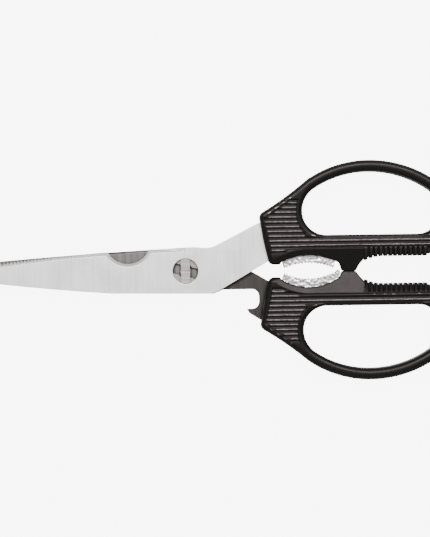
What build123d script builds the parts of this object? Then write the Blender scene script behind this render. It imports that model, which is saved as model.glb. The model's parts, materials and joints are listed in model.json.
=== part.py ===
from build123d import *
import math
import os

# Take-apart poultry shears, lying closed, blades towards -X and finger loops towards +X, +Z up.
# Two halves cross at the pivot. Each half is drawn in its own side view: x runs from the pivot towards
# the handles, and v runs from the line where the closed handles meet, outwards to that half's handle.
# Both halves have the cutting edge on the +v side and the spine on the -v side. Lengths are millimetres.

# Layers through the thickness
HANDLE_THICK = 13.0
BLADE_THICK = 2.5
BLADE_GAP = 0.1  # between the two ground inner faces
MEET_DROP = 0.5  # the meeting line lies this far to the lower side of the pivot

# Blades
BLADE_REACH = 104.4  # pivot to tip
HEEL_X = -17.0  # where the edge's long curve ends, near the pivot
EDGE_BULGE = 1.25
SPINE_BULGE = 0.3
TIP_LENGTH = 15.0  # the rounded end of the spine
TIP_V = 3.2
TIP_RADIUS = 1.4
EDGE_HEEL_V = 11.1
EDGE_PIVOT_V = 12.1
EDGE_PIVOT_X = 4.0
EDGE_ROOT_V = 11.3
EDGE_ROOT_X = 12.0
SPINE_TIP_V = -4.6
SPINE_V = -10.5
SPINE_FROM_X = -36.0
BACK_EDGE_INSET = 1.6  # the back blade's edge hides this far inside the front blade's outline
BACK_SPINE_TIP_V = -6.4
BACK_SPINE_V = -11.0
APEX_X = 31.7  # where the two shanks' inner sides cross the meeting line
SHANK_DEG = 30.0
SHANK_TOP = (35.1, 23.1)
SHANK_BEND = 12.0
HUMP_ROUND = 20.0
SPINE_RISE = 0.7  # the front spine starts to rise this much before its long curve
LIP_RUN = 4.6
BEVEL_WIDTH = 1.7
BEVEL_DEPTH = 1.9
BEVEL_RUN_OUT = 16.0  # the bevel rises out of the face over this length, up to the pivot

# Fine teeth along the front blade's edge
TOOTH_PITCH = 1.66
TOOTH_END_X = -44.0
GULLET_RADIUS = 0.6
GULLET_BITE = 0.45  # depth at the inner face
GULLET_LONG = 2.4  # length on the outer face near the tip
GULLET_SHORT = 1.3  # and near the pivot
GULLET_REACH = 12.0

# Bone notch in the front blade and the bevel beside it on the back blade's spine
NOTCH_X = -27.6
NOTCH_V = 15.4
NOTCH_RADIUS = 11.0
NOTCH_BEVEL = 1.5
NOTCH_LAND = 0.7
ANVIL_WIDTH = 1.1
ANVIL_DEPTH = 0.7
ANVIL_LENGTH = 14.0  # each way from the notch centre

# Pivot: a T-headed stud riveted in the back blade, seated in the front blade's counterbore
COUNTERBORE_RADIUS = 6.0
COUNTERBORE_DEPTH = 1.3
NECK_HOLE_RADIUS = 3.6
RUNNING_CLEARANCE = 0.05
BAR_WIDTH = 4.4
KEYWAY_CLEARANCE = 0.35
RELEASE_DEG = 105.0  # opening at which the T-head lines up with the keyway
RIM_CHAMFER = 0.25
TAIL_RADIUS = 2.5
RIVET_RADIUS = 4.3
RIVET_HEIGHT = 1.0
CREASE_WIDTH = 0.6
CREASE_DEPTH = 0.3

# Bottle opener in the back blade's shank
OPENER_TOP_V = 8.6
OPENER_GAP = 9.4
OPENER_END_X = 35.2
OPENER_CORNER = 3.4
HOOK_TIP_X = 29.3
HOOK_NOSE = 2.0
HOOK_SLOPE_DEG = 32.0

# Tangs inside the handles
TANG_WIDE_X = 44.0
TANG_WIDE_V = 24.0
TANG_NECK_X = 50.5
TONGUE_WIDTH = 4.0
TONGUE_COVER = 1.8  # plastic between the tongue and the finger opening
TONGUE_SHORT = 27.7  # the tongue stops this far short of the handle's end
SHANK_COVER = 1.0  # the shank's outer side is carried this far in past the handle's front corner
TANG_HOLE = (45.0, 16.8)
TANG_HOLE_RADIUS = 2.4

# Handles: the finger opening is a ring of tangent arcs
LOOP_START = 56.4
LOOP_LENGTH = 66.3
LOOP_FLOOR = 17.0
LOOP_HEIGHT = 30.2
LOOP_CORNER = 11.5
LOOP_FRONT = 13.0
LOOP_END = 12.2
SHOULDER_FRONT_DEG = 33.6
SHOULDER_END_DEG = 35.5
BAND = 5.5
EDGE_ROUND = 2.6
RIM_FROM_SEAT = 1.0  # the rounded edges start this far beyond the jaw's seat
FRONT_TOP = (35.6, 27.3)
FRONT_FOOT = (40.3, 3.0)
FRONT_BULGE = 0.45
FRONT_ROUND = 2.95
LOBE_END_X = 45.2
BACK_JOIN_DEG = 130.0  # where the hollow sloping back runs into the ring
BACK_HOLLOW = 0.6
HEEL_ROUND = 12.0

# Stops between the handles, one after another from the jaw's end towards the rack
STOP_V = -0.4
STOP_GAP = 0.1
STOP_FOOT_GAP = 1.9  # from the jaw's end
STOP_FOOT_V = 3.6
STOP_SLANT = 1.3
STOP_WIDTH = 6.6
STOP_ROUND = 1.0
STOP_FLANK_RUN = 1.6
STOP_FLANK_V = 2.7
SLOPE_DEG = 18.0
SLOPE_BORDER = 2.7  # width of the sloping border round the jaw

# Ribbed grip
RIB_PITCH = 2.28
RIB_WIDTH = 1.15
RIB_DROP = 0.08  # the half-round crests lie this far below the border
GROOVE_COUNT = 12
GROOVE_FIRST_V = 8.64
GROOVE_DEPTH = 0.65
SLOPE_LEDGE = 0.45  # flat between the sloping border and the first groove
PANEL_MARGIN = 2.2
LOOP_MARGIN = 2.9
BEAM_RIM = 0.9

# Jar grip racks
RACK_LEAD = 2.2  # from the stop's flank to the first tooth
RACK_CURVE_RUN = 9.4  # length of the curved stretch, before the straight one
RACK_SHORT = 9.7  # the rack stops this far short of the handle's end
RACK_TIP_V = 6.4
RACK_BASE_V = 10.8
RACK_CURVE = 21.3
RACK_PITCH = 2.36
RACK_TOOTH_DEPTH = 0.9
RACK_TOOTH_TIP = 0.8
RACK_TOOTH_ROOT = 1.6
RACK_SINK = 1.3
RACK_TOOTH_SINK = 0.5

# Jaw inserts: the seat is the arc against the handle, the mouth is the toothed arc
JAW_FROM_X = 46.4
JAW_LENGTH = 25.6
JAW_THICK = 8.0
JAW_SEAT_END_V = 4.5
JAW_END_INSET = 1.1
UPPER_SEAT_CROWN = 7.5
UPPER_MOUTH_CROWN = 3.55
UPPER_MOUTH_END = 1.05
LOWER_SEAT_CROWN = 8.1
LOWER_MOUTH_CROWN = 3.75
LOWER_MOUTH_END = 0.95
JAW_ROOT = 1.6
JAW_ROOT_THICK = 4.0
JAW_ROOT_LENGTH = 18.0
JAW_TOOTH_PITCH = 1.5
JAW_TOOTH_RADIUS = 0.5
LUG_WIDTH = 2.4
LUG_RISE = 3.6
LUG_CREASE = 0.35  # width of the groove at the lug's foot
LUG_CREASE_DEG = 50.0

# Worked out from the values above
MID_Z = HANDLE_THICK / 2
FRONT_Z = MID_Z + BLADE_GAP / 2
BACK_Z = MID_Z - BLADE_GAP / 2 - BLADE_THICK
LEDGE_Z = FRONT_Z + BLADE_THICK - COUNTERBORE_DEPTH
SHANK_SLOPE = math.tan(math.radians(SHANK_DEG))
HANDLE_END_X = LOOP_START + LOOP_LENGTH + BAND
TONGUE_END_X = HANDLE_END_X - TONGUE_SHORT
TONGUE_TO_V = LOOP_FLOOR - TONGUE_COVER
TONGUE_FROM_V = TONGUE_TO_V - TONGUE_WIDTH
JAW_TO_X = JAW_FROM_X + JAW_LENGTH
JAW_MIDDLE_X = (JAW_FROM_X + JAW_TO_X) / 2
STOP_FOOT = (JAW_TO_X + STOP_FOOT_GAP, STOP_FOOT_V)
STOP_FROM_X = STOP_FOOT[0] + STOP_SLANT
STOP_TO_X = STOP_FROM_X + STOP_WIDTH
STOP_FLANK = (STOP_TO_X + STOP_FLANK_RUN, STOP_FLANK_V)
RACK_FROM_X = STOP_FLANK[0] + RACK_LEAD
RACK_FLAT_X = RACK_FROM_X + RACK_CURVE_RUN
RACK_TO_X = HANDLE_END_X - RACK_SHORT

# How cutters and layers are placed
CUT_OVER = 2.0  # a cutter runs this far past the surface that it cuts
BIG = 400.0
ON_TOP = (Align.CENTER, Align.CENTER, Align.MIN)
BELOW = (Align.CENTER, Align.CENTER, Align.MAX)
TO_THE_LEFT = (Align.MAX, Align.CENTER, Align.CENTER)


def closed(*edges):
    """Flat face inside a closed run of edges."""
    return make_face([edge for part in edges for edge in part.edges()])


def soften(face, corners):
    """Rounds the named corners of a flat face."""
    for point, radius in corners:
        vertex = face.vertices().sort_by_distance(Vector(*point))[0]
        face = fillet(vertex, radius)
    return face


def slab(face, bottom, height):
    return Pos(0, 0, bottom) * extrude(face, amount=height)


def both_faces(cutter):
    """The same cutter on the top and the underside of a handle."""
    return [cutter, mirror(cutter, about=Plane.XY.offset(MID_Z))]


def edge_arc(inset):
    """Centre, radius, ends and middle of the cutting edge's long arc."""
    start = Vector(-BLADE_REACH, TIP_V - inset)
    end = Vector(HEEL_X, EDGE_HEEL_V - inset)
    half = (end - start).length / 2
    radius = (half**2 + EDGE_BULGE**2) / (2 * EDGE_BULGE)
    outwards = (end - start).normalized().rotate(Axis.Z, 90)
    middle = (start + end) / 2 + outwards * EDGE_BULGE
    return middle - outwards * radius, radius, start, middle, end


def edge_curve(inset):
    _, _, start, middle, end = edge_arc(inset)
    return ThreePointArc(start, middle, end)


def spine_curve(near, far):
    """Long curve of a spine between two points, bulging outwards."""
    middle = (Vector(*near) + Vector(*far)) / 2
    return ThreePointArc(near, (middle.X, middle.Y - SPINE_BULGE), far)


def tang_points():
    """The tang, from the shank's outer side round the tongue to the shank's inner side."""
    neck_x = APEX_X + TONGUE_FROM_V / SHANK_SLOPE
    return [
        (TANG_WIDE_X, TANG_WIDE_V),
        (TANG_NECK_X, TONGUE_TO_V),
        (TONGUE_END_X, TONGUE_TO_V),
        (TONGUE_END_X, TONGUE_FROM_V),
        (neck_x, TONGUE_FROM_V),
    ]


def blade_plan(inset, outer_side, spine_v, spine_end, spine_tip_v):
    """Outline of a blade with its shank and tang; outer_side runs from the edge's heel to the tang."""
    tip = (-BLADE_REACH, TIP_V - inset)
    spine_tip = (TIP_LENGTH - BLADE_REACH, spine_tip_v)
    corner = (APEX_X + spine_v / SHANK_SLOPE, spine_v)
    spine = spine_curve(spine_end, spine_tip)
    plan = closed(
        edge_curve(inset),
        Polyline(*outer_side, *tang_points(), corner, spine_end),
        spine,
        TangentArc(spine_tip, tip, tangent=spine % 1),
    )
    plan = soften(plan, [(corner, SHANK_BEND), (tip, TIP_RADIUS)])
    return plan - Pos(*TANG_HOLE) * Circle(TANG_HOLE_RADIUS)


def front_plan():
    heel = (HEEL_X, EDGE_HEEL_V)
    hump = (EDGE_PIVOT_X, EDGE_PIVOT_V)
    root = (EDGE_ROOT_X, EDGE_ROOT_V)
    spine_end = (SPINE_FROM_X, SPINE_V + SPINE_RISE)
    plan = blade_plan(0.0, [heel, hump, root, SHANK_TOP], SPINE_V, spine_end, SPINE_TIP_V)
    return soften(plan, [(hump, HUMP_ROUND), (root, SHANK_BEND)])


def back_plan():
    heel = (HEEL_X, EDGE_HEEL_V - BACK_EDGE_INSET)
    lip = (APEX_X + SPINE_V / SHANK_SLOPE, -SPINE_V)
    step = (lip[0] + LIP_RUN, OPENER_TOP_V)
    gap_floor = OPENER_TOP_V + OPENER_GAP
    gap_top_end = (OPENER_END_X, OPENER_TOP_V)
    gap_floor_end = (OPENER_END_X, gap_floor)
    hook = (HOOK_TIP_X, gap_floor)
    nose = (HOOK_TIP_X + HOOK_NOSE / 2, gap_floor + HOOK_NOSE)
    entry_x = FRONT_TOP[0] + SHANK_COVER
    entry = (entry_x, nose[1] + (entry_x - nose[0]) * math.tan(math.radians(HOOK_SLOPE_DEG)))
    outer_side = [heel, lip, step, gap_top_end, gap_floor_end, hook, nose, entry]
    plan = blade_plan(BACK_EDGE_INSET, outer_side, BACK_SPINE_V, (HEEL_X, BACK_SPINE_V), BACK_SPINE_TIP_V)
    return soften(plan, [(gap_top_end, OPENER_CORNER), (gap_floor_end, OPENER_CORNER)])


def edge_bevel(inset, face_z, inwards):
    """Wedge that grinds a blade's outer face down to its cutting edge, with a wheel's round run-out."""
    centre, radius, *_ = edge_arc(inset)
    slope = inwards * BEVEL_DEPTH / BEVEL_WIDTH
    reach = BEVEL_WIDTH + CUT_OVER
    section = make_face(
        Polyline(
            (radius - BEVEL_WIDTH, 0, face_z),
            (radius - BEVEL_WIDTH + reach, 0, face_z + slope * reach),
            (radius - BEVEL_WIDTH + reach, 0, face_z - inwards),
            (radius - BEVEL_WIDTH, 0, face_z - inwards),
            close=True,
        )
    )
    ring = Pos(centre.X, centre.Y, 0) * revolve(section, axis=Axis.Z)
    wheel_radius = (BEVEL_RUN_OUT**2 + BEVEL_DEPTH**2) / (2 * BEVEL_DEPTH)
    wheel_z = face_z + inwards * (BEVEL_DEPTH - wheel_radius)
    full_depth = Box(BIG, BIG, BIG, align=TO_THE_LEFT)
    wheel = Pos(0, 0, wheel_z) * Rot(90, 0, 0) * Cylinder(wheel_radius, BIG)
    return ring & (Pos(-BEVEL_RUN_OUT, 0, 0) * (full_depth + wheel))


def gullets():
    """Slanted round cutters that leave the fine teeth, longer towards the tip."""
    centre, radius, start, _, _ = edge_arc(0.0)
    count = int((TOOTH_END_X - start.X - TIP_RADIUS) / TOOTH_PITCH)
    cutters = []
    for index in range(count):
        x = TOOTH_END_X - (index + 0.5) * TOOTH_PITCH
        edge_point = Vector(x, centre.Y + math.sqrt(radius**2 - (x - centre.X) ** 2), FRONT_Z)
        inwards = Vector(centre.X - edge_point.X, centre.Y - edge_point.Y, 0).normalized()
        length = GULLET_SHORT + (GULLET_LONG - GULLET_SHORT) * index / count
        along = (inwards * (length - GULLET_BITE) + Vector(0, 0, BLADE_THICK)).normalized()
        sideways = Vector(0, 0, 1).cross(inwards)
        lift = sideways.cross(along) * -GULLET_RADIUS
        middle = edge_point + inwards * GULLET_BITE + lift
        cutters.append(Plane(middle, z_dir=along) * Cylinder(GULLET_RADIUS, GULLET_REACH))
    return cutters


def front_blade():
    top = FRONT_Z + BLADE_THICK
    pivot = Pos(0, MEET_DROP, 0)
    blade = slab(front_plan(), FRONT_Z, BLADE_THICK)
    notch = Pos(NOTCH_X, NOTCH_V, FRONT_Z)
    cone_height = BLADE_THICK - NOTCH_LAND
    blade -= notch * Pos(0, 0, BLADE_THICK / 2) * Cylinder(NOTCH_RADIUS, 2 * BLADE_THICK)
    cone = Cone(NOTCH_RADIUS, NOTCH_RADIUS + NOTCH_BEVEL, cone_height)
    blade -= notch * Pos(0, 0, NOTCH_LAND + cone_height / 2) * cone
    blade -= edge_bevel(0.0, top, -1)
    blade -= gullets()
    blade -= pivot * Pos(0, 0, FRONT_Z) * Cylinder(NECK_HOLE_RADIUS, BIG)
    blade -= pivot * Pos(0, 0, LEDGE_Z) * Cylinder(COUNTERBORE_RADIUS, COUNTERBORE_DEPTH, align=ON_TOP)
    rim_z = top - RIM_CHAMFER / 2
    rim = Cone(COUNTERBORE_RADIUS, COUNTERBORE_RADIUS + RIM_CHAMFER, RIM_CHAMFER)
    blade -= pivot * Pos(0, 0, rim_z) * rim
    slot = Box(2 * COUNTERBORE_RADIUS, BAR_WIDTH + 2 * KEYWAY_CLEARANCE, 2 * BLADE_THICK)
    keyway = slot & Cylinder(COUNTERBORE_RADIUS, BIG)
    blade -= pivot * Pos(0, 0, FRONT_Z) * Rot(0, 0, 90 - RELEASE_DEG) * keyway
    return blade


def back_blade():
    inner = BACK_Z + BLADE_THICK
    blade = slab(back_plan(), BACK_Z, BLADE_THICK)
    blade -= edge_bevel(BACK_EDGE_INSET, BACK_Z, 1)
    near = Vector(HEEL_X, BACK_SPINE_V)
    far = Vector(TIP_LENGTH - BLADE_REACH, BACK_SPINE_TIP_V)
    tilt = math.degrees(math.atan2(near.Y - far.Y, near.X - far.X))
    corners = [(0, 0), (ANVIL_WIDTH, 0), (0, -ANVIL_DEPTH)]
    wedge = extrude(Plane.YZ * make_face(Polyline(*corners, close=True)), amount=ANVIL_LENGTH, both=True)
    spine_v = near.Y + (far.Y - near.Y) * (NOTCH_X - near.X) / (far.X - near.X) - SPINE_BULGE / 2
    blade -= Pos(NOTCH_X, spine_v, inner) * Rot(0, 0, tilt) * wedge
    blade -= Pos(0, -MEET_DROP, BACK_Z) * Cylinder(TAIL_RADIUS, BIG)
    return blade


def pivot_stud():
    """Flat T-shaped stud: rivet dome under the back blade, tail, neck, and the bar-shaped head."""
    inner = BACK_Z + BLADE_THICK
    under_head = LEDGE_Z + RUNNING_CLEARANCE
    head_top = FRONT_Z + BLADE_THICK - RUNNING_CLEARANCE
    bar = Box(BAR_WIDTH, BIG, BIG)
    ball_radius = (RIVET_RADIUS**2 + RIVET_HEIGHT**2) / (2 * RIVET_HEIGHT)
    ball = Pos(0, 0, BACK_Z + ball_radius - RIVET_HEIGHT) * Sphere(ball_radius)
    dome = ball & Pos(0, 0, BACK_Z) * Cylinder(RIVET_RADIUS, BIG, align=BELOW)
    tail = Pos(0, 0, BACK_Z) * Cylinder(TAIL_RADIUS, BLADE_THICK, align=ON_TOP)
    neck = Cylinder(NECK_HOLE_RADIUS - RUNNING_CLEARANCE, under_head - inner, align=ON_TOP)
    head = Cylinder(COUNTERBORE_RADIUS - 2 * RUNNING_CLEARANCE, head_top - under_head, align=ON_TOP)
    stud = dome + tail + (Pos(0, 0, inner) * neck & bar) + (Pos(0, 0, under_head) * head & bar)
    side = CREASE_WIDTH / 2
    groove = make_face(Polyline((-side, 0), (side, 0), (0, -CREASE_DEPTH), close=True))
    crease = extrude(Plane.YZ * groove, amount=BAR_WIDTH, both=True)
    return stud - Pos(0, 0, head_top) * crease


def ring_arcs():
    """Centre, radius and end angle of each arc of the finger opening, from its front round the top."""
    front_v = LOOP_FLOOR + LOOP_CORNER
    top_v = LOOP_FLOOR + LOOP_HEIGHT
    lean = math.radians(SHOULDER_FRONT_DEG)
    fall = math.radians(SHOULDER_END_DEG)
    shoulder = (top_v - front_v - LOOP_FRONT * math.cos(lean)) / (1 - math.cos(lean))
    front_x = LOOP_START + LOOP_FRONT
    crown_x = front_x + (shoulder - LOOP_FRONT) * math.sin(lean)
    end_x = LOOP_START + LOOP_LENGTH - LOOP_END
    crown = LOOP_END + (end_x - crown_x) / math.sin(fall)
    end_v = top_v - crown + (crown - LOOP_END) * math.cos(fall)
    return [
        (Vector(LOOP_START + LOOP_CORNER, front_v), LOOP_CORNER, 270, 180),
        (Vector(front_x, front_v), LOOP_FRONT, 180, 90 + SHOULDER_FRONT_DEG),
        (Vector(crown_x, top_v - shoulder), shoulder, 90 + SHOULDER_FRONT_DEG, 90),
        (Vector(crown_x, top_v - crown), crown, 90, 90 - SHOULDER_END_DEG),
        (Vector(end_x, end_v), LOOP_END, 90 - SHOULDER_END_DEG, 0),
        (Vector(LOOP_START + LOOP_LENGTH - (end_v - LOOP_FLOOR), end_v), end_v - LOOP_FLOOR, 0, -90),
    ]


def ring_arc(arc, grow):
    centre, radius, start, end = arc
    turns = (start, (start + end) / 2, end)
    return ThreePointArc(*[centre + Vector(radius + grow, 0).rotate(Axis.Z, turn) for turn in turns])


def finger_opening(grow):
    """The finger opening's outline, grown outwards by a margin."""
    arcs = [ring_arc(arc, grow) for arc in ring_arcs()]
    return closed(*arcs, Line(arcs[-1] @ 1, arcs[0] @ 0))


def outer_ring():
    """Outer edge of the ring round the fingers, from the sloping back to its far end."""
    _, front, shoulder, crown, end, _ = ring_arcs()
    centre, radius, _, turn = front
    return [ring_arc(arc, BAND) for arc in ((centre, radius, BACK_JOIN_DEG, turn), shoulder, crown, end)]


def rack_edge(sink):
    """Bottom edge of the jar rack from its far end to the stop: straight, then curving in."""
    centre_v = RACK_TIP_V - RACK_CURVE
    radius = RACK_CURVE + sink
    far = (RACK_TO_X, RACK_TIP_V + sink)
    bend = (RACK_FLAT_X, RACK_TIP_V + sink)
    points = []
    for x in ((RACK_FLAT_X + RACK_FROM_X) / 2, RACK_FROM_X):
        points.append((x, centre_v + math.sqrt(radius**2 - (RACK_FLAT_X - x) ** 2)))
    return Line(far, bend), ThreePointArc(bend, *points)


def front_side():
    """Front side of a handle, bulging slightly towards the blades."""
    foot = Vector(*FRONT_FOOT)
    top = Vector(*FRONT_TOP)
    outwards = (top - foot).normalized().rotate(Axis.Z, 90)
    return ThreePointArc(foot, (foot + top) / 2 + outwards * FRONT_BULGE, top)


def handle_plan(stop_v, seat_crown):
    """Outline of a handle, clockwise from the jaw's front end round the ring, rack, stop and jaw seat."""
    ring = outer_ring()
    back = TangentArc(ring[0] @ 0, FRONT_TOP, tangent=-(ring[0] % 0))
    ring_end = ring[-1] @ 1
    root_v = RACK_TIP_V + RACK_TOOTH_DEPTH
    heel_centre = Vector(ring_end.X - HEEL_ROUND, root_v + HEEL_ROUND)
    heel_middle = heel_centre + Vector(HEEL_ROUND, 0).rotate(Axis.Z, -45)
    heel_end = (heel_centre.X, root_v)
    straight, curve = rack_edge(RACK_TOOTH_DEPTH)
    seat_middle = (JAW_MIDDLE_X, seat_crown)
    seat_from = (JAW_FROM_X, JAW_SEAT_END_V)
    seat_to = (JAW_TO_X, JAW_SEAT_END_V)
    stop_near = (STOP_FROM_X, stop_v)
    stop_far = (STOP_TO_X, stop_v)
    plan = closed(
        Polyline(seat_from, (LOBE_END_X, FRONT_FOOT[1]), FRONT_FOOT),
        front_side(),
        back,
        *ring,
        Line(ring_end, (ring_end.X, heel_centre.Y)),
        ThreePointArc((ring_end.X, heel_centre.Y), heel_middle, heel_end),
        Line(heel_end, straight @ 1),
        curve,
        Polyline(curve @ 1, STOP_FLANK, stop_far, stop_near, STOP_FOOT, seat_to),
        ThreePointArc(seat_to, seat_middle, seat_from),
    )
    plan = soften(plan, [(FRONT_TOP, FRONT_ROUND), (FRONT_FOOT, FRONT_ROUND)])
    plan = soften(plan, [(stop_near, STOP_ROUND), (stop_far, STOP_ROUND)])
    return plan - finger_opening(0.0)


def seat_circle(seat_crown):
    """Centre and radius of the jaw seat's arc."""
    rise = seat_crown - JAW_SEAT_END_V
    radius = ((JAW_LENGTH / 2) ** 2 + rise**2) / (2 * rise)
    return Vector(JAW_MIDDLE_X, seat_crown - radius), radius


def inner_slope(seat_crown):
    """What the sloping inner side of a handle's upper face loses: a cone round the jaw, then a plane."""
    centre, radius = seat_circle(seat_crown)
    border = radius + SLOPE_BORDER
    fall = math.tan(math.radians(SLOPE_DEG))
    width = centre.Y + border - STOP_V + CUT_OVER
    inside = border - width
    corners = [(border, 0, 0), (inside, 0, -width * fall), (inside, 0, CUT_OVER), (border, 0, CUT_OVER)]
    section = make_face(Polyline(*corners, close=True))
    quarter = Rot(0, 0, 90) * revolve(section, axis=Axis.Z, revolution_arc=90)
    cone = Pos(centre.X, centre.Y, HANDLE_THICK) * quarter
    start = Plane(origin=(centre.X, centre.Y, HANDLE_THICK), x_dir=(0, 1, 0), z_dir=(1, 0, 0))
    flat_section = start * make_face(Polyline(*[(across, up) for across, _, up in corners], close=True))
    plane = extrude(flat_section, amount=RACK_FROM_X - centre.X)
    return cone + plane


def rack_teeth():
    """Tapered ridges of the jar rack, wider at the root, one for each pitch."""
    blank_edges = rack_edge(0.0)
    base = RACK_BASE_V
    count = int((RACK_TO_X - RACK_FROM_X) / RACK_PITCH)
    blank = closed(
        *blank_edges,
        Polyline(blank_edges[-1] @ 1, (RACK_FROM_X, base), (RACK_TO_X, base), blank_edges[0] @ 0),
    )
    tooth = make_face(
        Polyline(
            (-RACK_TOOTH_ROOT / 2, base),
            (-RACK_TOOTH_TIP / 2, 0),
            (RACK_TOOTH_TIP / 2, 0),
            (RACK_TOOTH_ROOT / 2, base),
            close=True,
        )
    )
    teeth = [Pos(RACK_FROM_X + (index + 0.5) * RACK_PITCH, 0) * tooth for index in range(count)]
    ridges = Sketch() + [blank & one for one in teeth]
    return slab(ridges, RACK_TOOTH_SINK, HANDLE_THICK - 2 * RACK_TOOTH_SINK)


def grip_panel(seat_crown):
    """Outline of the ribbed area: the grip in front of the ring, and the beam under the finger opening."""
    lean = (FRONT_TOP[0] - FRONT_FOOT[0]) / (FRONT_TOP[1] - FRONT_FOOT[1])
    side_shift = PANEL_MARGIN * math.hypot(1, lean)
    low = (FRONT_FOOT[0] + side_shift, FRONT_FOOT[1])
    back_start = outer_ring()[0] @ 0
    rise = (back_start.Y - FRONT_TOP[1]) / (back_start.X - FRONT_TOP[0])
    back_shift = (PANEL_MARGIN + BACK_HOLLOW) * math.hypot(1, rise)
    corner_v = FRONT_TOP[1] - back_shift + side_shift * rise
    corner = (FRONT_TOP[0] + side_shift, corner_v)
    far = (back_start.X, corner_v + (back_start.X - corner[0]) * rise)
    inner_side = [(back_start.X, LOOP_FLOOR), (JAW_MIDDLE_X, FRONT_FOOT[1])]
    panel = make_face(Polyline(low, corner, far, *inner_side, close=True)) - finger_opening(LOOP_MARGIN)
    beam_from = LOOP_START - LOOP_MARGIN
    beam_low = seat_crown + SLOPE_BORDER + SLOPE_LEDGE
    beam_size = (RACK_TO_X - beam_from, LOOP_FLOOR - BEAM_RIM - beam_low)
    beam = Pos((beam_from + RACK_TO_X) / 2, beam_low + beam_size[1] / 2) * Rectangle(*beam_size)
    centre, radius = seat_circle(seat_crown)
    return panel + beam - Pos(centre.X, centre.Y) * Circle(radius + SLOPE_BORDER + SLOPE_LEDGE)


def grooves(seat_crown):
    """Space over the ribs on the upper face; between flat-floored grooves the ribs stand half round."""
    half = RIB_WIDTH / 2
    start = GROOVE_FIRST_V - RIB_PITCH / 2 + half
    end = start + GROOVE_COUNT * RIB_PITCH - RIB_WIDTH
    edges = [Polyline((end, -GROOVE_DEPTH), (end, CUT_OVER), (start, CUT_OVER), (start, -GROOVE_DEPTH))]
    for index in range(1, GROOVE_COUNT):
        crest = start - half + index * RIB_PITCH
        near = (crest - half, -GROOVE_DEPTH)
        far = (crest + half, -GROOVE_DEPTH)
        edges.append(Line(edges[-1] @ 1, near))
        edges.append(ThreePointArc(near, (crest, -RIB_DROP), far))
    edges.append(Line(edges[-1] @ 1, (end, -GROOVE_DEPTH)))
    space = extrude(Plane.YZ * closed(*edges), amount=BIG)
    prism = slab(grip_panel(seat_crown), HANDLE_THICK - GROOVE_DEPTH, GROOVE_DEPTH + CUT_OVER)
    return prism & Pos(0, 0, HANDLE_THICK) * space


def rack_recess():
    """Sunk floor of the rack on the upper face, between its ridges."""
    floor = Box(RACK_TO_X - RACK_FROM_X, BIG, BIG, align=(Align.MIN, Align.MAX, Align.MIN))
    return Pos(RACK_FROM_X, RACK_BASE_V, HANDLE_THICK - RACK_SINK) * floor


def handle(stop_v, seat_crown, blade, jaw):
    """Moulded handle with its finger ring, ribbed grip, stop and rack, round the tang and the jaw insert."""
    body = slab(handle_plan(stop_v, seat_crown), 0.0, HANDLE_THICK)
    flat_edges = body.faces().filter_by(Axis.Z).edges()
    rims = [edge for edge in flat_edges if (edge @ 0.5).Y > seat_crown + RIM_FROM_SEAT]
    body = fillet(rims, EDGE_ROUND)
    body -= both_faces(rack_recess())
    body += rack_teeth()
    body -= both_faces(inner_slope(seat_crown))
    body -= both_faces(grooves(seat_crown))
    return body - blade - jaw


def jaw_insert(seat_crown, mouth_crown, mouth_end, with_lug):
    """Cast jaw: a curved toothed bar against the seat, and a thinner root keyed into the handle."""
    mouth_from = (JAW_FROM_X + JAW_END_INSET, mouth_end)
    mouth_to = (JAW_TO_X - JAW_END_INSET, mouth_end)
    mouth = ThreePointArc(mouth_to, (JAW_MIDDLE_X, mouth_crown), mouth_from)
    seat_from = (JAW_FROM_X, JAW_SEAT_END_V)
    seat_to = (JAW_TO_X, JAW_SEAT_END_V)
    seat = ThreePointArc(seat_from, (JAW_MIDDLE_X, seat_crown), seat_to)
    plan = closed(seat, Line(seat_to, mouth_to), mouth, Line(mouth_from, seat_from))
    if with_lug:
        lug_to = JAW_TO_X + LUG_WIDTH
        top = JAW_SEAT_END_V - LUG_RISE
        lug = [
            (JAW_TO_X - LUG_WIDTH / 2, JAW_SEAT_END_V - LUG_WIDTH / 2),
            (JAW_TO_X, top),
            (JAW_TO_X + LUG_WIDTH / 2, top - LUG_WIDTH / 2),
            (lug_to, top),
            (lug_to - LUG_WIDTH / 3, STOP_FOOT[1]),
            (JAW_TO_X, JAW_SEAT_END_V - LUG_WIDTH / 5),
        ]
        plan += make_face(Polyline(*lug, close=True))
    count = int(mouth.length / JAW_TOOTH_PITCH)
    roots = [mouth @ ((index + 0.5) / count) for index in range(count)]
    plan -= [Pos(root.X, root.Y) * Circle(JAW_TOOTH_RADIUS) for root in roots]
    centre, radius = seat_circle(seat_crown)
    keyed = Pos(centre.X, centre.Y) * (Circle(radius + JAW_ROOT) - Circle(radius - JAW_ROOT))
    strip = Pos(JAW_MIDDLE_X, seat_crown) * Rectangle(JAW_ROOT_LENGTH, 2 * seat_crown)
    bar = slab(plan, MID_Z - JAW_THICK / 2, JAW_THICK)
    if with_lug:
        crease = Box(LUG_WIDTH, LUG_CREASE, 2 * LUG_CREASE)
        foot = Pos(JAW_TO_X + LUG_WIDTH / 4, JAW_SEAT_END_V - LUG_WIDTH) * Rot(0, 0, LUG_CREASE_DEG)
        bar -= Pos(0, 0, MID_Z + JAW_THICK / 2) * foot * crease
    return bar + slab(keyed & strip, MID_Z - JAW_ROOT_THICK / 2, JAW_ROOT_THICK)


def upper_side(shape):
    return Pos(0, -MEET_DROP, 0) * shape


def lower_side(shape):
    return Pos(0, -MEET_DROP, 0) * mirror(shape, about=Plane.XZ)


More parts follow.
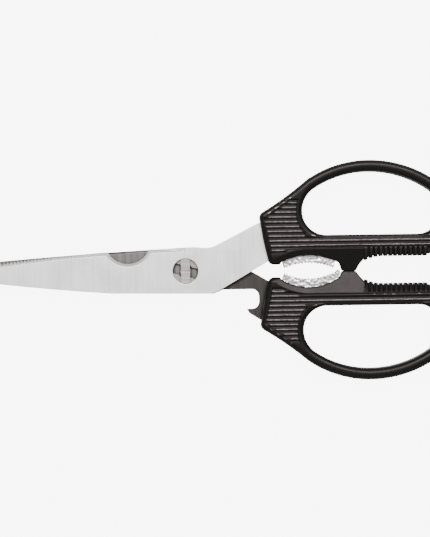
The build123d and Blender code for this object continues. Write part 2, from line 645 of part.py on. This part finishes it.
def build():
    front = front_blade()
    back = back_blade()
    upper_jaw = jaw_insert(UPPER_SEAT_CROWN, UPPER_MOUTH_CROWN, UPPER_MOUTH_END, False)
    lower_jaw = jaw_insert(LOWER_SEAT_CROWN, LOWER_MOUTH_CROWN, LOWER_MOUTH_END, True)
    lower_stop = STOP_GAP - STOP_V
    return {
        "front_blade": upper_side(front),
        "back_blade": lower_side(back),
        "pivot_stud": pivot_stud(),
        "upper_handle": upper_side(handle(STOP_V, UPPER_SEAT_CROWN, front, upper_jaw)),
        "lower_handle": lower_side(handle(lower_stop, LOWER_SEAT_CROWN, back, lower_jaw)),
        "upper_jaw": upper_side(upper_jaw),
        "lower_jaw": lower_side(lower_jaw),
    }


os.makedirs("parts", exist_ok=True)
nodes = build()
box = Compound([solid for shape in nodes.values() for solid in shape.solids()]).bounding_box()
shift = Pos(-box.center().X, -box.center().Y, -box.min.Z)
for name, shape in nodes.items():
    export_step(shift * shape, f"parts/{name}.step")
print("pivot at", round(-box.center().X, 3), round(-box.center().Y, 3), "size", box.size)
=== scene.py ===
# %% [markdown]
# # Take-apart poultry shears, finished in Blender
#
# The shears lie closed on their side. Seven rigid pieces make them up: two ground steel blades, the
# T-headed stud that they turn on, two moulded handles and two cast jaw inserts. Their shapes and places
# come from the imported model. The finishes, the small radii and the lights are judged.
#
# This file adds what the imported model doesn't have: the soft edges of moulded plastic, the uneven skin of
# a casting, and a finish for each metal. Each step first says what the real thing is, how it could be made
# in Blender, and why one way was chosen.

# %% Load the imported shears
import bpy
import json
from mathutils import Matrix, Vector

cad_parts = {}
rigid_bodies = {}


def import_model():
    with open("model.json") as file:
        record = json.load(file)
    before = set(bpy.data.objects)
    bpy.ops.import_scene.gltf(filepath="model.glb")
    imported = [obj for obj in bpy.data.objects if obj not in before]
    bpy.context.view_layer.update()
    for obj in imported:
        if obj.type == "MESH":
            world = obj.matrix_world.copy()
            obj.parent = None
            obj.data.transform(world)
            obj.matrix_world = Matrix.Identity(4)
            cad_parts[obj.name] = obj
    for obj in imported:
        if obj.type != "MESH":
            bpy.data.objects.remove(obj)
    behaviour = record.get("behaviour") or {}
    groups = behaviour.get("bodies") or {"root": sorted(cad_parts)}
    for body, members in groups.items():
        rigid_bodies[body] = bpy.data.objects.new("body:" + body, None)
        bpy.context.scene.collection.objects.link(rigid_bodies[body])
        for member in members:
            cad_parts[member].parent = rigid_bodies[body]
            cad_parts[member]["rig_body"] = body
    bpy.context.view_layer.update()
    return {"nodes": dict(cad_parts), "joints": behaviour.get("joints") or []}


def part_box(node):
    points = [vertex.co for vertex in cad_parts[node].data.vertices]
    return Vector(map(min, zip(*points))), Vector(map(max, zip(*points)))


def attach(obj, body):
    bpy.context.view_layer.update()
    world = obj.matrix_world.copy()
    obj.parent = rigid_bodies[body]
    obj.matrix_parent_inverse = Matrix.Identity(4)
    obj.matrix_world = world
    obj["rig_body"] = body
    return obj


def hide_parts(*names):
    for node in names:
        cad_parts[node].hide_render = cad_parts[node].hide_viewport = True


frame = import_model()

# %% What the later steps use
import json
import math

import bmesh
import bpy
from mathutils import Vector, noise
from mathutils.bvhtree import BVHTree

MM = 0.001
nodes = frame["nodes"]
hinge = frame["joints"][0]
pivot = Vector(hinge["pos_m"])
blade_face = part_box("front_blade")[1].z
print("the halves turn about", [round(value, 4) for value in pivot], "and the blade face is at", round(blade_face, 5))

# %% [markdown]
# ## Small helpers for shader trees
#
# A procedural finish is a tree of small nodes. Typing every link by hand hides the idea behind the wiring,
# so two helpers do it: one places a node and fills its sockets, the other makes a reusable group with
# named inputs and outputs. A socket gets either a plain value or the output of another node.


# %% Place a shader node and fill its sockets
def place(tree, kind, settings=None, sockets=None):
    made = tree.nodes.new("ShaderNode" + kind)
    for name, value in (settings or {}).items():
        setattr(made, name, value)
    for key, value in (sockets or {}).items():
        if isinstance(value, bpy.types.NodeSocket):
            tree.links.new(value, made.inputs[key])
        else:
            made.inputs[key].default_value = value
    return made


def calculate(tree, operation, first, second=0.0, clamp=False):
    settings = {"operation": operation, "use_clamp": clamp}
    return place(tree, "Math", settings, {0: first, 1: second}).outputs[0]


def ramp(tree, value, low, high, to_low=0.0, to_high=1.0):
    """Smooth step of a value from low..high to to_low..to_high."""
    settings = {"interpolation_type": "SMOOTHSTEP"}
    sockets = {"Value": value, "From Min": low, "From Max": high, "To Min": to_low, "To Max": to_high}
    return place(tree, "MapRange", settings, sockets).outputs["Result"]


def blend_colours(tree, factor, first, second, way="MIX"):
    settings = {"data_type": "RGBA", "blend_type": way}
    return place(tree, "Mix", settings, {0: factor, 6: first, 7: second}).outputs[2]


# %% Make a shader node group with named inputs and outputs
def new_group(name, inputs, outputs):
    tree = bpy.data.node_groups.new(name, "ShaderNodeTree")
    for label, value in inputs.items():
        socket = tree.interface.new_socket(name=label, in_out="INPUT", socket_type="NodeSocketFloat")
        socket.default_value = value
    for label, kind in outputs.items():
        tree.interface.new_socket(name=label, in_out="OUTPUT", socket_type="NodeSocket" + kind)
    start = tree.nodes.new("NodeGroupInput").outputs
    end = tree.nodes.new("NodeGroupOutput").inputs
    return tree, start, end


def use_group(tree, group, values=None):
    made = tree.nodes.new("ShaderNodeGroup")
    made.node_tree = group
    for label, value in (values or {}).items():
        made.inputs[label].default_value = value
    return made.outputs


print("shader helpers ready")

# %% [markdown]
# ## Effect: softened edges and the light that they catch
#
# No real edge is perfectly sharp. A stamped blade has a tumbled edge and a moulded part a small radius,
# and both catch a thin line of light. The radius could be modelled everywhere, but on the fine teeth it
# would cost more faces than it shows. The Bevel node averages the normals inside a small radius instead.
# Where that average differs from the plain normal there is an edge, so the same node also gives a mask
# for colouring the edge: darker on the ground steel, which is painted shade, brighter on the tumbled casting.


# %% Group: soft edge
def soft_edge_group():
    tree, start, end = new_group(
        "soft_edge", {"Radius": 0.2 * MM, "Sharpness": 0.25}, {"Normal": "Vector", "Edge": "Float"}
    )
    bevel = place(tree, "Bevel", {"samples": 6}, {"Radius": start["Radius"]})
    plain = place(tree, "NewGeometry").outputs["Normal"]
    settings = {"operation": "DOT_PRODUCT"}
    same = place(tree, "VectorMath", settings, {0: bevel.outputs[0], 1: plain}).outputs["Value"]
    turned = calculate(tree, "SUBTRACT", 1.0, same)
    tree.links.new(bevel.outputs[0], end["Normal"])
    tree.links.new(ramp(tree, turned, 0.01, start["Sharpness"]), end["Edge"])
    return tree


soft_edge = soft_edge_group()
print("made", soft_edge.name)

# %% [markdown]
# ## Effect: grinding marks
#
# Steel blades are ground flat on a belt or a wheel, which leaves fine parallel marks. They could be a
# picture, but a picture needs unwrapping and repeats. A noise that is stretched a hundred times along one
# direction gives the same marks at any scale. Turn sets the direction, and the two outputs feed the bump
# and the colour, so that light and shade come from the same marks.


# %% Group: ground marks
def ground_marks_group():
    tree, start, end = new_group(
        "ground_marks",
        {"Along": 60.0, "Across": 6000.0, "Turn": 0.0},
        {"Height": "Float", "Streaks": "Float"},
    )
    place_in_shears = place(tree, "TexCoord").outputs["Object"]
    settings = {"rotation_type": "Z_AXIS"}
    turned = place(tree, "VectorRotate", settings, {"Vector": place_in_shears, "Angle": start["Turn"]})
    stretch = place(tree, "CombineXYZ", None, {"X": start["Along"], "Y": start["Across"], "Z": start["Across"]})
    settings = {"operation": "MULTIPLY"}
    stretched = place(tree, "VectorMath", settings, {0: turned.outputs[0], 1: stretch.outputs[0]}).outputs[0]
    fine = place(tree, "TexNoise", None, {"Vector": stretched, "Scale": 1.0, "Detail": 3.0}).outputs[0]
    broad = place(tree, "TexNoise", None, {"Vector": stretched, "Scale": 0.13, "Detail": 2.0}).outputs[0]
    height = calculate(tree, "ADD", calculate(tree, "MULTIPLY", fine, 0.6), calculate(tree, "MULTIPLY", broad, 0.4))
    tree.links.new(height, end["Height"])
    tree.links.new(ramp(tree, height, 0.36, 0.64), end["Streaks"])
    return tree


ground_marks = ground_marks_group()
print("made", ground_marks.name)

# %% [markdown]
# ## Effect: traces of handling
#
# Fingers and cloths leave cloudy patches that are a little duller than the rest, and drawers leave a few
# hairline scratches. The cloud is a large soft noise. A hairline is the contour line of another noise,
# where its value is just a half: a thin curved line of even width, with no picture and no table of points.


# %% Group: handling
def handling_group():
    tree, start, end = new_group(
        "handling", {"Cloud size": 90.0, "Scratch size": 160.0}, {"Cloud": "Float", "Hairlines": "Float"}
    )
    here = place(tree, "TexCoord").outputs["Object"]
    cloud = place(tree, "TexNoise", None, {"Vector": here, "Scale": start["Cloud size"], "Detail": 4.0}).outputs[0]
    tree.links.new(ramp(tree, cloud, 0.35, 0.68), end["Cloud"])
    settings = {"noise_dimensions": "3D"}
    sockets = {"Vector": here, "Scale": start["Scratch size"], "Detail": 1.0, "Distortion": 1.5}
    lines = place(tree, "TexNoise", settings, sockets).outputs[0]
    away = calculate(tree, "ABSOLUTE", calculate(tree, "SUBTRACT", lines, 0.5))
    thin = ramp(tree, away, 0.0, 0.006, 1.0, 0.0)
    where = place(tree, "TexNoise", None, {"Vector": here, "Scale": 45.0, "Detail": 1.0}).outputs[0]
    patches = ramp(tree, where, 0.52, 0.62)
    tree.links.new(calculate(tree, "MULTIPLY", thin, patches), end["Hairlines"])
    return tree


handling = handling_group()
print("made", handling.name)

# %% [markdown]
# ## Effect: painted shade in the corners
#
# Narrow corners, such as the roots of the jaw teeth and the floors of the grip's grooves, get less light.
# The Ambient Occlusion node measures how much of the surroundings a point sees within a short distance,
# and that is the mask that darkens the colour there: painted shade.


# %% Group: corner shade
def corner_shade_group():
    tree, start, end = new_group("painted_corner_shade", {"Reach": 0.8 * MM}, {"Shade": "Float"})
    seen = place(tree, "AmbientOcclusion", {"samples": 6}, {"Distance": start["Reach"]}).outputs["AO"]
    tree.links.new(ramp(tree, seen, 0.35, 0.95, 1.0, 0.0), end["Shade"])
    return tree


painted_corner_shade = corner_shade_group()
print("made", painted_corner_shade.name)

# %% [markdown]
# ## Finish: ground stainless steel
#
# Both blades and the stud are stainless steel, but they were finished differently. The toothed blade's
# outer face is a fine satin, the back blade keeps its coarse cross-grinding and is coloured much darker as
# painted shade, because it lies under the front blade, and the stud is burnished. One function makes all
# three, because the layers are the same: marks, clouds, hairlines, painted shade in the corners and a soft
# dark edge, which is painted shade too. Only their strengths and directions differ.
#
# Two places look darker than the rest: the turned ledge in the counterbore, where the darkening is painted
# shade in the recess, and the back blade's shank towards its handle. Each could be a material of its own,
# but then a hard border would show. A mask that is calculated from the place on the blade dims them with a
# soft border instead.


# %% A new material with its main shader
def new_material(name, metallic):
    material = bpy.data.materials.new(name)
    material.use_nodes = True
    tree = material.node_tree
    tree.nodes.clear()
    shader = place(tree, "BsdfPrincipled")
    shader.inputs["Metallic"].default_value = metallic
    output = place(tree, "OutputMaterial")
    tree.links.new(shader.outputs[0], output.inputs[0])
    return material, tree, shader


def roughen(tree, shader, height, distance, normal):
    sockets = {"Strength": 1.0, "Distance": distance, "Height": height, "Normal": normal}
    bump = place(tree, "Bump", None, sockets)
    tree.links.new(bump.outputs[0], shader.inputs["Normal"])


# %% Ground steel
DIMMED_STEEL = (0.33, 0.31, 0.30, 1)
STREAK_STRETCH = 110


def ground_steel(name, light, dark, roughness, turn, across, depth, edge_share, edge_shade_colour, dimmed=None):
    material, tree, shader = new_material(name, 1.0)
    edge = use_group(tree, soft_edge, {"Radius": 0.22 * MM, "Sharpness": 0.3})
    marks = use_group(tree, ground_marks, {"Across": across, "Along": across / STREAK_STRETCH, "Turn": turn})
    touched = use_group(tree, handling)
    shade = use_group(tree, painted_corner_shade, {"Reach": 1.8 * MM})
    streaked = blend_colours(tree, marks["Streaks"], dark, light)
    clouded = blend_colours(tree, calculate(tree, "MULTIPLY", touched["Cloud"], 0.22), streaked, dark)
    # Painted shade: the corner mask darkens the colour in corners and recesses.
    corner_shaded = blend_colours(tree, calculate(tree, "MULTIPLY", shade["Shade"], 0.75), clouded, dark, "MULTIPLY")
    # The dimming mask darkens the counterbore ledge as painted shade, and the back blade's shank towards its handle.
    if dimmed:
        corner_shaded = blend_colours(tree, dimmed(tree), corner_shaded, DIMMED_STEEL, "MULTIPLY")
    # Painted shade: the edge mask darkens the colour along the edges of the steel.
    painted_dark_edge = calculate(tree, "MULTIPLY", edge["Edge"], edge_share)
    tree.links.new(blend_colours(tree, painted_dark_edge, corner_shaded, edge_shade_colour), shader.inputs["Base Color"])
    duller = calculate(tree, "MULTIPLY", touched["Cloud"], 0.07)
    marked = calculate(tree, "MULTIPLY", marks["Streaks"], 0.06)
    rough = calculate(tree, "ADD", calculate(tree, "ADD", duller, marked), roughness)
    scratched = calculate(tree, "MULTIPLY", touched["Hairlines"], 0.12)
    tree.links.new(calculate(tree, "ADD", rough, scratched), shader.inputs["Roughness"])
    cut = calculate(tree, "MULTIPLY", touched["Hairlines"], 0.5)
    roughen(tree, shader, calculate(tree, "SUBTRACT", marks["Height"], cut), depth, edge["Normal"])
    return material


def counterbore_shade_mask(tree):
    """Mask of painted shade on the turned ledge round the stud, below the ground face."""
    here = place(tree, "TexCoord").outputs["Object"]
    depth = place(tree, "SeparateXYZ", None, {0: here}).outputs["Z"]
    flat = place(tree, "VectorMath", {"operation": "MULTIPLY"}, {0: here, 1: (1, 1, 0)}).outputs[0]
    centre = (pivot.x, pivot.y, 0)
    away = place(tree, "VectorMath", {"operation": "DISTANCE"}, {0: flat, 1: centre}).outputs["Value"]
    inside = ramp(tree, away, 5.9 * MM, 6.3 * MM, 0.9, 0.0)
    below = ramp(tree, depth, blade_face - 0.9 * MM, blade_face - 0.3 * MM, 1.0, 0.0)
    return calculate(tree, "MULTIPLY", inside, below)


def towards_the_handle(tree):
    """Mask that grows from the pivot to the handle."""
    here = place(tree, "TexCoord").outputs["Object"]
    along = place(tree, "SeparateXYZ", None, {0: here}).outputs["X"]
    return ramp(tree, along, pivot.x + 4 * MM, pivot.x + 26 * MM)


steels = {
    "front_blade": ground_steel(
        "satin_steel", (0.95, 0.93, 0.92, 1), (0.90, 0.865, 0.86, 1), 0.36,
        math.radians(90), 5200, 0.004 * MM, 0.5, (0.55, 0.53, 0.52, 1), counterbore_shade_mask
    ),
    # The back blade's dark colours are painted shade, because it lies under the front blade.
    "back_blade": ground_steel(
        "cross_ground_steel_painted_shade", (0.21, 0.2, 0.195, 1), (0.115, 0.11, 0.105, 1), 0.40,
        math.radians(86), 3600, 0.02 * MM, 0.7, (0.03, 0.028, 0.027, 1), towards_the_handle
    ),
    "pivot_stud": ground_steel(
        "burnished_steel", (0.56, 0.515, 0.525, 1), (0.40, 0.365, 0.37, 1), 0.34,
        math.radians(4), 4000, 0.008 * MM, 0.85, (0.10, 0.09, 0.09, 1)
    ),
}
print("made", [material.name for material in steels.values()])

# %% [markdown]
# ## Finish: black moulded plastic
#
# The handles are glass-filled nylon, moulded black in a tool with a fine spark-eroded texture. The texture
# is far smaller than a face of the mesh, so it is bump from a fine noise. Real black plastic is a very dark
# warm grey, never pure black, and rubs slightly lighter and glossier along its ridges. A thin raised line
# runs round the middle, where the two halves of the mould met. The floors of the grooves get painted shade.
#
# The crests of the grip ribs are polished by the hand. The same function makes that second plastic with a
# lighter colour, less roughness and more shine, so both keep the same grain. The lighter grey colour is
# partly wear and partly a painted highlight along the crests.


# %% Moulded plastic
def moulded_plastic(name, parting_height, smooth, shine, rub_and_highlight_colour):
    material, tree, shader = new_material(name, 0.0)
    edge = use_group(tree, soft_edge, {"Radius": 0.5 * MM, "Sharpness": 0.35})
    touched = use_group(tree, handling, {"Cloud size": 70.0, "Scratch size": 120.0})
    shade = use_group(tree, painted_corner_shade, {"Reach": 2.4 * MM})
    here = place(tree, "TexCoord").outputs["Object"]
    grain = place(tree, "TexNoise", None, {"Vector": here, "Scale": 5200.0, "Detail": 2.0}).outputs[0]
    lumps = place(tree, "TexNoise", None, {"Vector": here, "Scale": 900.0, "Detail": 2.0}).outputs[0]
    base = blend_colours(tree, touched["Cloud"], (0.0040, 0.0030, 0.0030, 1), (0.0064, 0.0050, 0.0050, 1))
    speckled = blend_colours(tree, ramp(tree, grain, 0.62, 0.75), base, (0.014, 0.0115, 0.0115, 1))
    # Painted shade: the corner mask darkens the floors of the grooves and other corners.
    darker = blend_colours(tree, shade["Shade"], speckled, (0.0012, 0.001, 0.001, 1))
    # The rub colour is random tone on the plain nylon. On the rib crests it is partly wear and partly a painted
    # highlight.
    rubbed_and_highlit = ramp(tree, lumps, 0.3, 0.65, 0.2, 1.0)
    tree.links.new(blend_colours(tree, rubbed_and_highlit, darker, rub_and_highlight_colour), shader.inputs["Base Color"])
    grainy = ramp(tree, grain, 0.3, 0.7, smooth, smooth + 0.1)
    smoother = calculate(tree, "MULTIPLY", touched["Cloud"], 0.07)
    rough = calculate(tree, "SUBTRACT", grainy, smoother)
    scratched = calculate(tree, "MULTIPLY", touched["Hairlines"], 0.1)
    tree.links.new(calculate(tree, "ADD", rough, scratched), shader.inputs["Roughness"])
    level = place(tree, "SeparateXYZ", None, {0: here}).outputs["Z"]
    off_line = calculate(tree, "ABSOLUTE", calculate(tree, "SUBTRACT", level, parting_height))
    line = ramp(tree, off_line, 0.04 * MM, 0.16 * MM, 1.0, 0.0)
    texture = calculate(tree, "ADD", calculate(tree, "MULTIPLY", grain, 0.5), calculate(tree, "MULTIPLY", lumps, 0.3))
    seamed = calculate(tree, "ADD", texture, calculate(tree, "MULTIPLY", line, 0.7))
    roughen(tree, shader, seamed, 0.02 * MM, edge["Normal"])
    shader.inputs["Specular IOR Level"].default_value = shine
    shader.inputs["Specular Tint"].default_value = (1.0, 0.91, 0.89, 1)
    return material


plastic = moulded_plastic("black_nylon", pivot.z, 0.36, 0.17, (0.006, 0.005, 0.005, 1))
rubbed_highlit_plastic = moulded_plastic("rubbed_highlit_nylon", pivot.z, 0.26, 0.7, (0.08, 0.073, 0.07, 1))
print("made", plastic.name, "and", rubbed_highlit_plastic.name)

# %% [markdown]
# ## Finish: cast and tumbled jaw metal
#
# The jaw inserts are small steel castings. Casting leaves an orange-peel skin with a few pits, and
# tumbling rounds it and brightens the high spots. The big lumps are modelled in the mesh below, and this
# finish adds the fine ones.


# %% Cast metal
def cast_metal(name):
    material, tree, shader = new_material(name, 1.0)
    edge = use_group(tree, soft_edge, {"Radius": 0.25 * MM, "Sharpness": 0.3})
    shade = use_group(tree, painted_corner_shade, {"Reach": 0.5 * MM})
    touched = use_group(tree, handling, {"Cloud size": 320.0, "Scratch size": 500.0})
    here = place(tree, "TexCoord").outputs["Object"]
    peel = place(tree, "TexNoise", None, {"Vector": here, "Scale": 1500.0, "Detail": 3.0}).outputs[0]
    settings = {"feature": "SMOOTH_F1"}
    pits = place(tree, "TexVoronoi", settings, {"Vector": here, "Scale": 1100.0}).outputs["Distance"]
    mottled = blend_colours(tree, touched["Cloud"], (0.78, 0.75, 0.745, 1), (0.55, 0.52, 0.52, 1))
    pitted = blend_colours(tree, ramp(tree, pits, 0.0, 0.22, 0.5, 0.0), mottled, (0.30, 0.29, 0.29, 1))
    # Painted shade: the corner mask darkens the roots of the teeth and other corners.
    shaded = blend_colours(tree, calculate(tree, "MULTIPLY", shade["Shade"], 0.8), pitted, (0.16, 0.155, 0.155, 1))
    lit = calculate(tree, "MULTIPLY", edge["Edge"], 0.35)
    tree.links.new(blend_colours(tree, lit, shaded, (0.95, 0.94, 0.93, 1)), shader.inputs["Base Color"])
    tree.links.new(ramp(tree, peel, 0.3, 0.7, 0.30, 0.48), shader.inputs["Roughness"])
    skin = calculate(tree, "ADD", peel, calculate(tree, "MULTIPLY", pits, 0.4))
    roughen(tree, shader, skin, 0.045 * MM, edge["Normal"])
    return material


jaw_metal = cast_metal("cast_steel")
print("made", jaw_metal.name)

# %% [markdown]
# ## Pieces: blades and stud
#
# The blades and the stud are flat ground parts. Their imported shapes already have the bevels, teeth, notch
# and counterbore at real size, so they stay as they are and only get their finish. A piece that is kept
# needs no riding or replacing, because it is part of the frame.


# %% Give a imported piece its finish
def finish_packed(name, material):
    data = nodes[name].data
    data.materials.clear()
    data.materials.append(material)


for name, material in steels.items():
    finish_packed(name, material)
    print("finished", name, "with", material.name)

# %% [markdown]
# ## Pieces: moulded handles
#
# A moulded handle has no sharp corner anywhere: every rib, groove end and tooth has a small radius, so
# that the part leaves the mould. Bevelling hundreds of short edges is fragile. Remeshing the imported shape
# into small even squares and relaxing them a few times rounds every corner by about the same radius, the
# way a mould does, and the even mesh takes the light smoothly.


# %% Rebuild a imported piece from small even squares
MOST_TRIANGLES = 190000


def modified_mesh(piece):
    """Mesh of a piece with its modifiers applied; the modifiers are then taken off it."""
    made = bpy.data.meshes.new_from_object(piece.evaluated_get(bpy.context.evaluated_depsgraph_get()))
    piece.modifiers.clear()
    return made


def even_copy(node, name, square, relax):
    data = nodes[node].data.copy()
    data.name = name
    mesh = bmesh.new()
    mesh.from_mesh(data)
    bmesh.ops.remove_doubles(mesh, verts=mesh.verts, dist=0.001 * MM)
    mesh.to_mesh(data)
    mesh.free()
    piece = bpy.data.objects.new(name, data)
    bpy.context.scene.collection.objects.link(piece)
    squares = piece.modifiers.new("even squares", "REMESH")
    squares.mode = "VOXEL"
    squares.voxel_size = square
    relaxed = piece.modifiers.new("relaxed", "SMOOTH")
    relaxed.factor = 0.5
    relaxed.iterations = relax
    piece.data = modified_mesh(piece)
    triangles = 2 * len(piece.data.polygons)
    if triangles > MOST_TRIANGLES:
        thinned = piece.modifiers.new("thinned", "DECIMATE")
        thinned.ratio = MOST_TRIANGLES / triangles
        piece.data = modified_mesh(piece)
    piece.data.shade_smooth()
    return piece


def stand_for(piece, node, material):
    piece.data.materials.clear()
    piece.data.materials.append(material)
    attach(piece, nodes[node]["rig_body"])
    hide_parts(node)
    print(piece.name, "stands for", node, "with", len(piece.data.polygons), "faces")


# %% [markdown]
# ## Detail: stops that meet
#
# When the shears are closed, the two stops rest on each other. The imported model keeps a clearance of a
# tenth of a millimetre between them, and a pale floor shines through it as a line. Either stop could be
# made again, but it is enough to move the top of the lower one. This changes the looks alone: the packed
# model still decides where the halves touch.

# %% Close the gap between the stops
STOP_TOP_DEPTH = 0.04 * MM
CLOSED_SHARE = 0.95


def close_stops(handle, packed_face, gap):
    """Moves the lower stop's flat top until only a hair's gap is left to the upper stop."""
    raised = [vertex for vertex in handle.data.vertices if vertex.co.y > packed_face - STOP_TOP_DEPTH]
    for vertex in raised:
        vertex.co.y += gap
    handle.data.update()
    print("raised", len(raised), "points of the stop by", round(gap / MM, 3), "mm")


# %% [markdown]
# ## Detail: rubbed crests of the ribs, with a painted highlight
#
# The hand polishes only the tops of the grip ribs. They could be painted by hand, or chosen by how sharply
# the mesh bends, but that also picks up stray specks. Here a ray looks down half a rib's pitch to each
# side of every flat face. Where it finds a groove on both sides, the face is a crest. The crests get the
# lighter rubbed plastic, whose grey colour is partly wear and partly a painted highlight.

# %% Find and rub the crests
HALF_PITCH = 1.14 * MM
GROOVE_DROP = 0.38 * MM
RIB_SINK = 0.045 * MM
FLAT_ENOUGH = 0.7
RAY_START = 5 * MM


def find_crests(handle, low, high):
    """Faces a little below the border, with a groove on both sides, half a rib pitch away."""
    mesh = bmesh.new()
    mesh.from_mesh(handle.data)
    tree = BVHTree.FromBMesh(mesh)
    mesh.free()
    crests = []
    for face in handle.data.polygons:
        sunk = min(high.z - face.center.z, face.center.z - low.z)
        if abs(face.normal.z) < FLAT_ENOUGH or sunk < RIB_SINK:
            continue
        up = math.copysign(1.0, face.normal.z)
        drops = []
        for side in (-HALF_PITCH, HALF_PITCH):
            above = face.center + Vector((0, side, up * RAY_START))
            hit = tree.ray_cast(above, Vector((0, 0, -up)))[0]
            drops.append(up * (face.center.z - hit.z) if hit else 0.0)
        if min(drops) > GROOVE_DROP and max(drops) < 2 * GROOVE_DROP:
            crests.append(face.index)
    return crests


def rub_and_highlight_crests(handle, node):
    handle.data.materials.append(rubbed_highlit_plastic)
    crests = find_crests(handle, *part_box(node))
    for index in crests:
        handle.data.polygons[index].material_index = 1
    print("rubbed_and_highlit", len(crests), "faces of", handle.name)


# %% Both handles
for half in ("upper", "lower"):
    handle = even_copy(half + "_handle", half + "_moulded_handle", 0.24 * MM, 3)
    if half == "lower":
        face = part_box("lower_handle")[1].y
        close_stops(handle, face, CLOSED_SHARE * (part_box("upper_handle")[0].y - face))
    stand_for(handle, half + "_handle", plastic)
    rub_and_highlight_crests(handle, half + "_handle")

# %% [markdown]
# ## Pieces: cast jaw inserts
#
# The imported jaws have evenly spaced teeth, but cast teeth come out uneven: some are blunt, some chipped.
# The even mesh is pushed in and out by two seeded noises, a broad one that makes the teeth differ and a
# fine one for the skin. On average the skin moves inwards by half the broad push, so that the insert
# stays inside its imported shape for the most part.


# %% Uneven skin of a casting
def cast_skin(piece, lumps, lump_size, peel, peel_size, seed):
    shift = Vector((seed, seed * 0.37, -seed * 0.61))
    pushes = []
    for vertex in piece.data.vertices:
        broad = noise.noise(vertex.co / lump_size + shift)
        fine = noise.noise(vertex.co / peel_size - shift)
        pushes.append(vertex.normal * (broad * lumps + fine * peel - lumps * 0.5))
    for vertex, push in zip(piece.data.vertices, pushes):
        vertex.co += push
    piece.data.update()


for seed, half in enumerate(("upper", "lower"), start=3):
    jaw = even_copy(half + "_jaw", half + "_cast_jaw", 0.15 * MM, 2)
    cast_skin(jaw, 0.26 * MM, 1.3 * MM, 0.05 * MM, 0.5 * MM, seed * 7.3)
    stand_for(jaw, half + "_jaw", jaw_metal)

# %% [markdown]
# ## Studio: floor, lights and camera
#
# The shears are shown on a plain pale sweep in soft light. Steel shows what it reflects, so a broad
# overhead panel fills the ground faces evenly, and a long panel from the handle side of the toothed blade
# draws the thin lines along the ribs and the rings. The paper glows for the camera alone, so that it looks
# white without throwing more light on the shears.


# %% Pale floor
PAPER_GLOW = 9.0
GLOW_SHARE = 0.88


def pale_floor(size):
    mesh = bmesh.new()
    bmesh.ops.create_grid(mesh, x_segments=1, y_segments=1, size=size / 2)
    data = bpy.data.meshes.new("pale_floor")
    mesh.to_mesh(data)
    mesh.free()
    floor = bpy.data.objects.new("pale_floor", data)
    bpy.context.scene.collection.objects.link(floor)
    material, tree, shader = new_material("pale_paper", 0.0)
    here = place(tree, "TexCoord").outputs["Object"]
    fibres = place(tree, "TexNoise", None, {"Vector": here, "Scale": 900.0, "Detail": 4.0}).outputs[0]
    tree.links.new(
        blend_colours(tree, fibres, (0.70, 0.70, 0.70, 1), (0.76, 0.76, 0.76, 1)), shader.inputs["Base Color"]
    )
    shader.inputs["Roughness"].default_value = 0.9
    glow = place(tree, "Emission", None, {"Strength": PAPER_GLOW})
    seen = calculate(tree, "MULTIPLY", place(tree, "LightPath").outputs["Is Camera Ray"], GLOW_SHARE)
    lit = place(tree, "MixShader", None, {0: seen, 1: shader.outputs[0], 2: glow.outputs[0]})
    tree.links.new(lit.outputs[0], tree.nodes["Material Output"].inputs[0])
    data.materials.append(material)
    return floor


floor = pale_floor(6.0)
print("floor of", floor.dimensions.x, "m")


# %% Soft lights, all aimed at the middle of the floor
def soft_panel(name, place_at, width, depth, power):
    data = bpy.data.lights.new(name, "AREA")
    data.shape = "RECTANGLE"
    data.size = width
    data.size_y = depth
    data.energy = power
    lamp = bpy.data.objects.new(name, data)
    bpy.context.scene.collection.objects.link(lamp)
    lamp.location = place_at
    lamp.rotation_euler = (-Vector(place_at)).to_track_quat("-Z", "Y").to_euler()
    return lamp


soft_panel("overhead_panel", (0.0, 0.1, 1.9), 1.6, 1.6, 5)
soft_panel("handle_side_panel", (0.0, 0.5, 0.85), 1.0, 0.18, 19)
soft_panel("front_side_panel", (0.0, -0.9, 0.7), 1.4, 0.3, 2)
world = bpy.data.worlds.new("studio_air")
world.use_nodes = True
world.node_tree.nodes["Background"].inputs["Color"].default_value = (1, 1, 1, 1)
world.node_tree.nodes["Background"].inputs["Strength"].default_value = 0.25
bpy.context.scene.world = world

# %% [markdown]
# ## Camera
#
# The shears are seen square-on from above, through a long lens, so that both handles keep their true
# proportions. The view is a little to the handle side of the pivot and turned by less than a degree. The
# blade tip and the ends of both rings run out of the frame.

# %% Camera above the shears
VIEW_FROM_PIVOT = Vector((14.2, 1.1)) * MM
VIEW_TURN = -0.8
VIEW_HEIGHT = 257.8 * MM
LENS = 150.0
SENSOR = 36.0
lens_data = bpy.data.cameras.new("overhead_camera")
lens_data.lens = LENS
lens_data.sensor_width = SENSOR
camera = bpy.data.objects.new("overhead_camera", lens_data)
bpy.context.scene.collection.objects.link(camera)
distance = VIEW_HEIGHT * LENS / SENSOR
camera.location = (pivot.x + VIEW_FROM_PIVOT.x, pivot.y + VIEW_FROM_PIVOT.y, blade_face + distance)
camera.rotation_euler = (0, 0, math.radians(VIEW_TURN))
lens_data.clip_end = 2 * distance
bpy.context.scene.camera = camera
print("camera", round(distance, 3), "m above the blade face")
